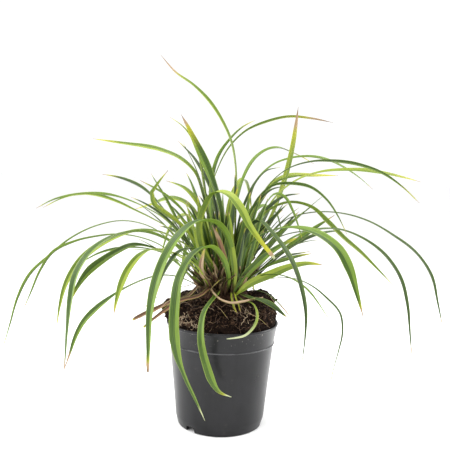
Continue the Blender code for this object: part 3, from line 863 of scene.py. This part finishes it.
def moundSpots(tree, count, rng, lowTilt=0.02, highTilt=1.2):
    # places on the open part of the mound, with the direction out of it
    spots = []
    while len(spots) < count:
        angle = rng.uniform(0.0, math.tau)
        tilt = rng.uniform(lowTilt, highTilt)
        way = outward(tilt, angle)
        hit, normal = tree.ray_cast(soilShape["middle"] + way * 0.2, -way)[:2]
        if hit is not None and hit.z > potShape["height"] * mm:
            spots.append((hit, normal if normal.dot(way) > 0 else -normal))
    return spots


def makeCrumbs(tree):
    rng = np.random.default_rng(seeds["crumbs"])
    base = bmesh.new()
    bmesh.ops.create_icosphere(base, subdivisions=1, radius=1.0)
    ball = np.array([v.co[:] for v in base.verts])
    ballFaces = [tuple(v.index for v in f.verts) for f in base.faces]
    base.free()
    verts, faces = [], []
    s = soilShape
    spots = [(*spot, s["crumbSize"]) for spot in moundSpots(tree, s["crumbs"], rng)]
    spots += [(*spot, s["rimCrumbSize"]) for spot in moundSpots(tree, s["rimCrumbs"], rng, 0.0, 0.25)]
    for hit, normal, (least, most) in spots:
        size = least + (most - least) * rng.random() ** 3
        spin = np.array(Quaternion(rng.normal(size=4)).normalized().to_matrix())
        rough = ball * (1.0 + rng.uniform(-0.28, 0.28, (len(ball), 1))) * rng.uniform(0.45, 1.1, 3)
        place = np.array(hit + normal * size * 0.25)
        start = len(verts) * len(ball)
        verts.append(rough @ spin.T * size + place)
        faces.extend(tuple(i + start for i in f) for f in ballFaces)
    crumb = soilMaterial("peatCrumb", *s["crumbTones"], 420.0)
    addPiece("peatCrumbs", np.vstack(verts), faces, crumb, smooth=False)


def fibreMaterial(name, low, high):
    material, tree, shader = newMaterial(name)
    place = addNode(tree, "TexCoord").outputs["Object"]
    tone = noiseOf(tree, place, 180.0, 3.0, 0.6)
    fine = noiseOf(tree, place, 2400.0, 2.0, 0.6)
    color = mixColor(tree, ramp(tree, tone, 0.3, 0.7), low, high)
    addBump(tree, shader, 0.4, 0.0001, fine)
    setInputs(tree, shader, {"Base Color": color, "Roughness": 0.7})
    return material


def tubeMesh(path, radius, sides=5):
    path = np.asarray(path)
    n = len(path)
    tangent = unit(np.gradient(path, axis=0))
    side = unit(np.cross(tangent, np.array([0.31, 0.17, 0.93])))
    other = np.cross(tangent, side)
    turn = np.arange(sides) * math.tau / sides
    ends = np.minimum(np.linspace(0.0, 8.0, n) + 0.35, np.linspace(8.0, 0.0, n) + 0.25)
    size = radius * np.clip(ends, 0.0, 1.0)
    ring = side[:, None] * np.cos(turn)[None, :, None] + other[:, None] * np.sin(turn)[None, :, None]
    verts = (path[:, None] + ring * size[:, None, None]).reshape(-1, 3)
    faces = []
    for i in range(n - 1):
        for j in range(sides):
            a, b = i * sides + j, i * sides + (j + 1) % sides
            faces.append((a, b, b + sides, a + sides))
    faces.append(tuple(reversed(range(sides))))
    faces.append(tuple((n - 1) * sides + j for j in range(sides)))
    return verts, faces


def joinTubes(name, tubes, material):
    verts, faces, start = [], [], 0
    for v, f in tubes:
        verts.append(v)
        faces.extend(tuple(i + start for i in face) for face in f)
        start += len(v)
    return addPiece(name, np.vstack(verts), faces, material)


def crawl(tree, hit, way, steps, stride, height, rng, curl=0.5):
    # a line that follows the mound's surface
    path = []
    place = hit.copy()
    for k in range(steps):
        near, normal = tree.find_nearest(place)[:2]
        if normal.dot(near - soilShape["middle"]) < 0:
            normal = -normal
        hop = height * (1.0 + 1.6 * math.sin(k * 0.9 + hit.x * 900.0))
        path.append(near + normal * max(hop, 0.1 * mm))
        way = way - normal * way.dot(normal)
        way = Quaternion(normal, rng.normal(0.0, curl)) @ way.normalized()
        place = near + way * stride
    return smoothLine([p[:] for p in path], steps * 3)


def makeFibres(tree):
    rng = np.random.default_rng(seeds["fibres"])
    tubes = []
    for hit, _ in moundSpots(tree, soilShape["darkFibres"], rng):
        way = Vector(rng.normal(size=3)).normalized()
        steps = int(rng.integers(4, 9))
        path = crawl(tree, hit, way, steps, rng.uniform(1.6, 3.4) * mm, 0.35 * mm, rng)
        tubes.append(tubeMesh(path, rng.uniform(0.10, 0.28) * mm, 4))
    joinTubes("darkFibres", tubes, fibreMaterial("darkRoot", *soilShape["darkRootTones"]))
    tubes = []
    for hit, _ in moundSpots(tree, soilShape["paleRoots"], rng, 0.0, 0.9):
        way = Vector(rng.normal(size=3)).normalized()
        steps = int(rng.integers(6, 13))
        path = crawl(tree, hit, way, steps, rng.uniform(1.8, 3.2) * mm, 0.7 * mm, rng, 0.35)
        tubes.append(tubeMesh(path, rng.uniform(0.16, 0.34) * mm, 5))
    for azimuth, tilt, spread, count in soilShape["rootPatches"]:
        for _ in range(count):
            angle = math.radians(azimuth + rng.normal(0.0, spread))
            up = math.radians(max(1.5, tilt + rng.normal(0.0, spread * 0.5)))
            way = outward(up, angle)
            hit = tree.ray_cast(soilShape["middle"] + way * 0.2, -way)[0]
            if hit is None or hit.z < potShape["height"] * mm:
                continue
            heading = Vector(rng.normal(size=3)).normalized()
            steps = int(rng.integers(4, 9))
            path = crawl(tree, hit, heading, steps, rng.uniform(1.0, 2.0) * mm, 0.9 * mm, rng, 0.8)
            tubes.append(tubeMesh(path, rng.uniform(0.10, 0.24) * mm, 4))
    joinTubes("paleRoots", tubes, fibreMaterial("paleRoot", *soilShape["paleRootTones"]))


soil = makeSoil()
soilTree = treeOf(soil)
makeCrumbs(soilTree)
makeFibres(soilTree)
print("soil and roots made")


# crown, dead sheaths and the inner clump

crownShape = {
    "rings": 26,
    "around": 120,
    "cellScale": 300.0,
    "lumpScale": 160.0,
    "fibreTones": ((0.006, 0.0035, 0.003), (0.060, 0.030, 0.018)),
    "sheaths": 230,
    "sheathTall": (9.0, 44.0),
    "spread": 28.0,
}
clumpShape = {
    "leaves": 96,
    "spread": 26.0,
    "inner": (72.0, 126.0),  # leaf lengths in the middle and at the edge
    "outer": (95.0, 168.0),
    "start": (88.0, 42.0),   # degrees above the floor, at the middle and at the edge of the crown
    "bend": (8.0, 58.0),     # degrees that a leaf gives way along its length
    "width": (5.3, 9.0),
    "gapFrom": -7.0,         # no leaf grows in the middle of the front, where old sheaths show
    "gapWidth": 14.0,
}


def crownTop(x, y):
    # the dome of the crown node at a plan place, in millimetres
    low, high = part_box("crown")
    radius = high.x / mm
    share = min(0.985, math.hypot(x, y) / radius)
    return (low.z + (high.z - low.z) * math.sqrt(1.0 - share ** 2)) / mm


def freeBlade(route, width, look, rng, fold=0.3, taper=0.5):
    route = np.asarray(route, float) * mm
    length = np.sum(np.linalg.norm(np.diff(route, axis=0), axis=1))
    count = max(12, int(length / (4.2 * mm)))
    centre = smoothLine(route, count)
    share = np.linspace(0.0, 1.0, count)
    tangent = unit(np.gradient(centre, axis=0))
    heading = centre[-1] - centre[0]
    across = unit(np.cross(np.array([0.0, 0.0, 1.0]), np.array([heading[0], heading[1], 0.0])) + 1e-9)
    across = unit(across - tangent * np.sum(across * tangent, 1, keepdims=True))
    rise = np.clip(share / 0.35, 0.0, 1.0)
    base = look.get("base", 0.45)
    half = 0.5 * width * mm * (base + (1.0 - base) * rise * rise * (3.0 - 2.0 * rise))
    tip = np.clip((1.0 - share) / taper, 0.0, 1.0)
    half = half * np.maximum(tip ** 0.65, look.get("end", 0.05))
    if width > 2.4:
        half = np.maximum(half, bladeShape["tipHalf"] * 0.7 * np.clip((1.0 - share) / 0.03, 0.3, 1.0))
    return growBlade(centre, across, half, fold + 0.25 * (1.0 - rise), look, rng)


def makeCrown():
    rng = np.random.default_rng(seeds["crown"])
    blades, strawBlades = [], []
    for k in range(crownShape["sheaths"]):
        reach = crownShape["spread"] * math.sqrt((k + 0.5) / crownShape["sheaths"])
        angle = k * goldenAngle + rng.normal(0.0, 0.2)
        x, y = reach * math.cos(angle), reach * math.sin(angle)
        z = crownTop(x, y) - 0.8
        tall = rng.uniform(*crownShape["sheathTall"]) * (1.1 - 0.5 * reach / crownShape["spread"])
        lean = 0.25 + 0.75 * reach / crownShape["spread"] + rng.normal(0.0, 0.15)
        dx, dy = math.cos(angle) * lean, math.sin(angle) * lean
        bend = rng.normal(0.0, 0.18, 2)
        route = [(x, y, z), (x + dx * tall * 0.35, y + dy * tall * 0.35, z + tall * 0.5),
                 (x + (dx + bend[0]) * tall * 0.8, y + (dy + bend[1]) * tall * 0.8, z + tall)]
        old = k % 4 != 0
        look = {"dead": 0.0 if old else rng.uniform(0.3, 0.9), "turn": rng.uniform(-60, 60), "dry": 2,
                "yellow": 2, "end": rng.uniform(0.1, 0.6), "face": 0.3}
        (blades if old else strawBlades).append(freeBlade(route, rng.uniform(2.2, 4.8), look, rng, 0.6))
    joinBlades("oldSheaths", blades, oldSheath)
    joinBlades("strawSheaths", strawBlades, deadLeaf)
    # the mound of packed shoot bases under them
    low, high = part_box("crown")
    verts = []
    rings, around = crownShape["rings"], crownShape["around"]
    for i in range(rings):
        share = i / (rings - 1)
        for j in range(around):
            angle = math.tau * j / around
            reach = high.x * math.sin(share * math.pi / 2.0)
            z = low.z + (high.z - low.z) * math.cos(share * math.pi / 2.0)
            place = Vector((reach * math.cos(angle), reach * math.sin(angle), z))
            bump = noise.cell(place * crownShape["cellScale"]) * 0.5 * mm
            bump += noise.fractal(place * crownShape["lumpScale"], 1.0, 2.0, 3) * 0.9 * mm
            verts.append(place + Vector((0.0, 0.0, bump - 0.5 * mm)))
    faces = ringFaces(rings, around)
    start = len(verts)
    for j in range(around):
        angle = math.tau * j / around
        edge = high.x * 0.97
        verts.append(Vector((edge * math.cos(angle), edge * math.sin(angle), low.z - 0.5 * mm)))
    for j in range(around):
        a, b = start - around + j, start - around + (j + 1) % around
        faces.append((a, start + j, start + (j + 1) % around, b))
    faces.append(tuple(reversed(range(start, start + around))))
    fibre = soilMaterial("crownFibre", *crownShape["fibreTones"], 300.0)
    crown = addPiece("shootBases", verts, faces, fibre)
    work = bmesh.new()
    work.from_mesh(crown.data)
    bmesh.ops.remove_doubles(work, verts=work.verts, dist=0.00001)
    work.to_mesh(crown.data)
    work.free()
    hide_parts("crown")


def arcRoute(x, y, z, azimuth, start, bend, length, sideways):
    # a leaf that leaves the crown at an angle and gives way under its own weight
    route = [(x, y, z)]
    step = length / 10.0
    for k in range(10):
        share = (k + 0.5) / 10.0
        tilt = math.radians(start - bend * share ** 1.6)
        turn = azimuth + sideways * share
        x += step * math.cos(tilt) * math.cos(turn)
        y += step * math.cos(tilt) * math.sin(turn)
        z += step * math.sin(tilt)
        route.append((x, y, z))
    return route


def makeClump():
    rng = np.random.default_rng(seeds["clump"])
    s = clumpShape
    groups = {"fresh": [], "dark": [], "lime": []}
    tones = ("dark", "fresh", "dark", "fresh", "lime", "dark", "fresh")
    for k in range(s["leaves"]):
        share = (k + 0.5) / s["leaves"]
        seatReach = s["spread"] * math.sqrt(share)
        azimuth = k * goldenAngle
        x, y = seatReach * math.cos(azimuth), seatReach * math.sin(azimuth)
        azimuth += rng.normal(0.0, 0.22)
        if y < s["gapFrom"] and abs(x + 3.0) < s["gapWidth"]:
            continue
        start = s["start"][0] + (s["start"][1] - s["start"][0]) * share + rng.normal(0.0, 6.0)
        bend = rng.uniform(*s["bend"])
        length = rng.uniform(*(s["inner"] if share < 0.45 else s["outer"]))
        if math.sin(azimuth) < -0.35:
            # the front stays open, so these stand up and are short
            start = max(start, 70.0) + 6.0
            bend *= 0.25
            length *= 0.72
        route = arcRoute(x, y, crownTop(x, y) - 0.5, azimuth, start, bend, length, rng.normal(0.0, 0.2))
        look = {"turn": rng.uniform(-35, 35), "dry": rng.uniform(1, 7)}
        look.update({"yellow": rng.uniform(2, 16), "face": 0.6})
        blade = freeBlade(route, rng.uniform(*s["width"]), look, rng, 0.3, 0.55)
        groups[tones[k % len(tones)]].append(blade)
    for tone, blades in groups.items():
        joinBlades(tone + "Clump", blades, leafFinish[tone])


# leaves and dead pieces that the photo shows at one place only; routes run from the crown outwards.
# "places" are in millimetres and come first. "photoPoints" were read off the photo, each with a
# depth, and some were then moved a little to sit better.
facing = {"face": 1.0, "most": 80, "twist": (0.0, 0.3)}
facingLess = {"face": 1.0, "most": 70, "twist": (0.0, 0.3)}
facingEarly = {"face": 1.0, "most": 80, "twist": (0.0, 0.25)}
paleTube = {"dry": 5, "yellow": 20, "face": 0.6, "foot": 3, "base": 0.8}
singleBlades = {
    "besideTall": {
        "width": 5.5, "finish": "fresh", "look": {"dry": 4, "yellow": 30, "face": 0.9},
        "places": ((-2, -4, 163),),
        "photoPoints": ((214, 240, 0), (211, 205, 6), (213, 176.5, 12), (218.5, 155, 18), (229, 139, 24),
                        (242, 127, 30), (256, 120.5, 34)),
    },
    "crossingDown": {
        "width": 5.5, "finish": "fresh", "look": {"dry": 3, "yellow": 10, "face": 0.9},
        "places": ((14, -12, 160),),
        "photoPoints": ((249, 240, -18), (264, 207, -22), (276, 194, -26), (285, 197, -30),
                        (292, 210, -36), (298, 225, -40), (302, 239, -44)),
    },
    "behindWide": {
        "width": 4.5, "finish": "lime", "look": {"dry": 8, "yellow": 30, "face": 0.9},
        "places": ((-5, 6, 163),),
        "photoPoints": ((211, 235, 10), (205, 190, 14), (199, 155, 20), (189.5, 135, 26), (181, 125, 30),
                        (169, 116, 34)),
    },
    "darkThin": {
        "width": 2.6, "finish": "dark", "look": {"dry": 4, "yellow": 10},
        "places": ((-4, 0, 163),),
        "photoPoints": ((214, 240, -2), (206, 200, -4), (196, 168, -6), (183, 143, -8)),
    },
    "shortLeft": {
        "width": 5.0, "finish": "lime", "look": {"dry": 2, "yellow": 10, "face": 0.9},
        "places": ((-13, -22, 158),),
        "photoPoints": ((195, 265, -50), (175, 253, -66), (155, 250, -78), (130, 250, -90)),
    },
    "paleHair": {
        "width": 0.9, "finish": "straw", "look": {"dead": 0.40},
        "places": ((-18, -24, 158),),
        "photoPoints": ((190, 284, -50), (170, 300, -70), (155, 312, -80), (136, 319, -84),
                        (121, 319, -84)),
    },
    "lowRight": {
        "width": 8.5, "finish": "dark", "look": {"dry": 5, "yellow": 8, "face": 0.9},
        "places": ((14, -26, 158), (23, -38, 157), (30, -46, 156), (42, -52, 155), (56, -56, 149),
                   (70, -60, 139)),
    },
    "broadRight": {
        "width": 9.0, "finish": "lime", "look": {**facingEarly, "dry": 2, "base": 0.7, "foot": 5},
        "places": ((13, -30, 152), (17, -34, 158), (31, -36, 171), (52, -38, 182), (76, -40, 192),
                   (93, -42, 196), (107, -44, 195)),
    },
    "besideBroad": {
        "width": 8.0, "finish": "fresh", "look": {**facingEarly, "dry": 2, "base": 0.6, "foot": 7},
        "places": ((11, -26, 154), (16, -30, 164), (27, -32, 182), (42, -34, 198), (60, -36, 212),
                   (80, -38, 224)),
    },
    "darkFiller": {
        "width": 7.0, "finish": "dark", "look": {**facing, "dry": 2, "base": 0.7, "foot": 8},
        "places": ((6, -20, 158), (12, -20, 180), (22, -18, 205), (34, -14, 230), (46, -10, 250)),
    },
    "darkFillerMiddle": {
        "width": 7.5, "finish": "dark", "look": {**facing, "dry": 2, "base": 0.8, "foot": 10},
        "places": ((0, -14, 160), (2, -14, 190), (5, -12, 220), (9, -10, 250), (13, -6, 276)),
    },
    "broadRightBack": {
        "width": 7.5, "finish": "fresh", "look": {"dry": 2, "face": 1.0},
        "places": ((12, -15, 158), (17, -18, 161), (30, -16, 173), (50, -14, 186), (73, -12, 196),
                   (100, -10, 202)),
    },
    "uprightFront": {
        "width": 7.0, "finish": "lime", "look": {"dry": 1, "yellow": 6, "face": 0.3},
        "places": ((11, -26, 158), (12, -34, 170), (11, -38, 190), (8, -40, 213), (6, -40, 232),
                   (4, -40, 249)),
    },
    "greyUpright": {
        "width": 7.0, "finish": "dark", "look": {**facing, "dry": 2, "yellow": 6, "base": 0.8},
        "photoPoints": ((226, 288, -6), (228, 238, -6), (233, 212, -4), (236, 190, -2), (235, 174, 0)),
    },
    "fanLow": {
        "width": 5.5, "finish": "dark", "look": {"dry": 3, "yellow": 10, "face": 0.9},
        "photoPoints": ((232, 288, -4), (235, 243, 0), (245, 222, 4), (255, 205, 6), (271, 190, 8),
                        (286, 186, 10)),
    },
    "fanLong": {
        "width": 4.6, "finish": "fresh", "look": {"dry": 6, "yellow": 24, "face": 0.9},
        "photoPoints": ((233, 288, -2), (240, 247, 2), (250, 212, 6), (262, 195, 10), (278, 181, 12),
                        (297, 176, 14), (314, 173, 16)),
    },
    "fanHigh": {
        "width": 5.0, "finish": "dark", "look": {"dry": 3, "yellow": 10, "face": 0.9},
        "photoPoints": ((231, 288, 0), (238, 229, 6), (245, 202, 12), (255, 183, 16), (266, 171, 20),
                        (281, 167, 24)),
    },
    "fanShort": {
        "width": 6.0, "finish": "dark", "look": {**facingLess, "dry": 3, "yellow": 8},
        "photoPoints": ((234, 290, -8), (245, 245, -8), (262, 228, -8), (276, 214, -8), (288, 204, -8)),
    },
    "pointedLeft": {
        "width": 6.0, "finish": "lime", "look": {**facingLess, "dry": 3, "yellow": 12},
        "photoPoints": ((206, 288, -12), (201, 238, -14), (199, 212, -16), (198, 196, -18)),
    },
    "fanDark": {
        "width": 6.5, "finish": "dark", "look": {**facingLess, "dry": 3, "yellow": 8},
        "photoPoints": ((233, 289, -6), (243, 250, -4), (254, 226, -2), (268, 208, 0), (284, 197, 0),
                        (300, 194, 0)),
    },
    "paleShoot": {
        "width": 2.0, "finish": "lime", "look": {**paleTube, "pale": 0.45},
        "places": ((9, -34, 160), (10, -43, 152), (13, -50, 145), (16, -54, 139)),
    },
    "paleShootBeside": {
        "width": 1.8, "finish": "lime", "look": {**paleTube, "pale": 0.5},
        "places": ((12, -34, 160), (15, -43, 153), (18, -50, 147), (20, -54, 141)),
    },
    "palestRoot": {
        "width": 1.6, "finish": "straw", "look": {"dead": 0.42, "face": 0.0},
        "places": ((11, -36, 158), (12, -44, 150), (15, -52, 142)),
    },
    "curledDead": {
        "width": 5.2, "finish": "straw", "look": {"dead": 0.40, "face": 1.0, "end": 0.25},
        "places": ((-14, -26, 163), (-13, -40, 162), (-4, -50, 155), (9, -52, 151), (22, -52, 153),
                   (34, -48, 156), (44, -44, 157)),
    },
    "thinStraw": {
        "width": 1.3, "finish": "straw", "look": {"dead": 0.40, "face": 0.5},
        "places": ((-17, -36, 153), (-12, -44, 166), (-6, -46, 173), (0, -46, 177)),
    },
    "paleSoilRoot": {
        "width": 0.8, "finish": "straw", "look": {"dead": 0.42, "face": 0.0},
        "places": ((-12, -50, 152), (-9, -54, 150), (-1, -58, 144), (7, -62, 135)),
    },
    "paleSoilRootRight": {
        "width": 0.8, "finish": "straw", "look": {"dead": 0.42, "face": 0.0},
        "places": ((18, -50, 148), (25, -56, 143), (38, -60, 138), (51, -63, 128)),
    },
}


def makeSingles():
    rng = np.random.default_rng(seeds["singles"])
    for name, s in singleBlades.items():
        straw = s["finish"] == "straw"
        material = deadLeaf if straw else leafFinish[s["finish"]]
        route = [*s.get("places", ()), *fromPhoto(s.get("photoPoints", ()))]
        blade = freeBlade(route, s["width"], s["look"], rng, 0.25, 0.45)
        joinBlades(name, [blade], material)


makeCrown()
makeClump()
makeSingles()
print("crown and inner clump made")
